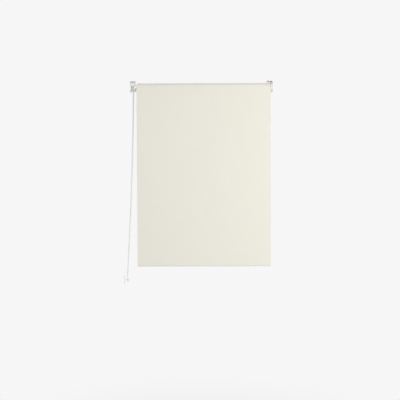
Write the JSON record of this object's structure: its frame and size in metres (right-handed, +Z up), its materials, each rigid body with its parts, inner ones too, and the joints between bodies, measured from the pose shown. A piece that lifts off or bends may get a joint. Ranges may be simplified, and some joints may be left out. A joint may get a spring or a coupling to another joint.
{
  "type": "blackout roller blind",
  "caption": "Chain-operated roller blind with a cream blackout cloth, let down about half way, with its clutch, brackets and hem bar.",
  "frame": {"origin": "centre of the four fixing holes in the brackets' top faces, in the plane that meets the window head", "axes": "+X along the roller from the chain end to the idle end, +Y away from the room towards the window, +Z up"},
  "size_m": [0.6728, 0.045, 0.9134],
  "materials": {
    "painted_steel": "white powder coat, satin",
    "white_plastic": "moulded white, semi-gloss",
    "chain_plastic": "moulded off-white, semi-matt",
    "cloth": "fine plain weave, cream, coated at the back",
    "aluminium": "extruded, mill finish",
    "strip_plastic": "extruded natural plastic",
    "plain_steel": "zinc plated"
  },
  "bodies": {
    "fixed": {"control_bracket": "painted_steel", "idle_bracket": "painted_steel", "control_housing": "white_plastic", "spindle_washer": "plain_steel", "spindle_screw": "plain_steel", "idle_bush": "white_plastic", "chain_tidy": "white_plastic", "bead_chain": "chain_plastic", "chain_connector": "chain_plastic"},
    "roller": {"roller_tube": "aluminium", "groove_strip": "strip_plastic", "fabric_roll": "cloth", "drive_wheel": "chain_plastic", "tube_adaptor": "white_plastic", "outer_wrap_spring": "plain_steel", "inner_wrap_spring": "plain_steel", "idle_plug": "white_plastic", "plug_cap": "white_plastic", "pin_spring": "plain_steel"},
    "pin": {"idle_pin": "plain_steel"},
    "hem": {"fabric_drop": "cloth", "hem_pocket": "cloth", "bottom_bar": "aluminium"}
  },
  "joints": [
    {"name": "roller_spin", "type": "hinge", "parent": "fixed", "child": "roller", "pos_m": [0, 0, -0.027], "axis": [-1, 0, 0], "range_deg": [-2317.5, 2205], "deforming": ["bead_chain"]},
    {"name": "hem_lift", "type": "slide", "parent": "fixed", "child": "hem", "axis": [0, 0, 1], "range_m": [-0.77, 0.7326], "deforming": ["fabric_drop"]},
    {"name": "pin_slide", "type": "slide", "parent": "roller", "child": "pin", "axis": [1, 0, 0], "range_m": [-0.006, 0], "stiffness_N_per_m": 400, "springref_m": 0.006, "deforming": ["pin_spring"]}
  ],
  "couplings": [
    {"joint": "hem_lift", "follows": "roller_spin", "m_per_rad": 0.019024}
  ]
}
